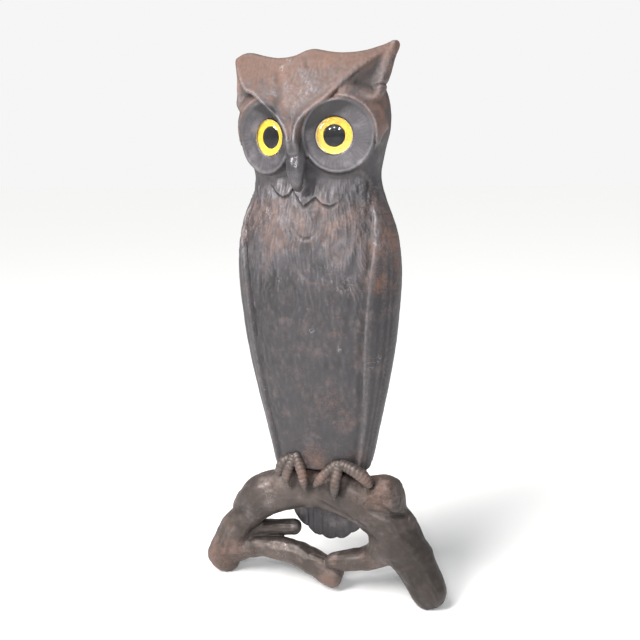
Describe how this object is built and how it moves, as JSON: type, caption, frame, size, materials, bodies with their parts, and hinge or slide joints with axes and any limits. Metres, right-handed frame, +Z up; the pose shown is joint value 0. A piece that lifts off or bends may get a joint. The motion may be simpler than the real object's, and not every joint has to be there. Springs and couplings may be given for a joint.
{
  "type": "owl andiron front",
  "caption": "Hollow cast-iron owl with glass eyes, perched on a forked branch, a fireplace andiron front on three feet with a bolted rear leg.",
  "frame": {"origin": "on the floor, under the middle of the whole part's bounding box", "axes": "+Z up, the owl looks along -Y, and +X is to the owl's left"},
  "size_m": [0.1873, 0.1401, 0.386],
  "materials": {
    "owl_iron": "dark aged cast iron with a thin rust bloom on what faces up",
    "branch_iron": "rustier aged cast iron",
    "fastener_steel": "dark rusted steel",
    "clear_glass": "polished clear glass",
    "yellow_enamel": "yellow enamel seen through the glass",
    "black_enamel": "black enamel seen through the glass",
    "felt": "compressed felt"
  },
  "bodies": {
    "root": {"owl_casting": "owl_iron", "branch_casting": "branch_iron", "rear_leg": "branch_iron", "leg_bolt_left": "fastener_steel", "leg_bolt_right": "fastener_steel", "leg_washer_left": "fastener_steel", "leg_washer_right": "fastener_steel", "eye_glass_left": "clear_glass", "eye_glass_right": "clear_glass", "iris_left": "yellow_enamel", "iris_right": "yellow_enamel", "pupil_left": "black_enamel", "pupil_right": "black_enamel", "eye_packing_left": "felt", "eye_packing_right": "felt", "eye_strap_left": "fastener_steel", "eye_strap_right": "fastener_steel", "strap_screw_left_upper": "fastener_steel", "strap_screw_left_lower": "fastener_steel", "strap_screw_right_upper": "fastener_steel", "strap_screw_right_lower": "fastener_steel"}
  },
  "joints": []
}
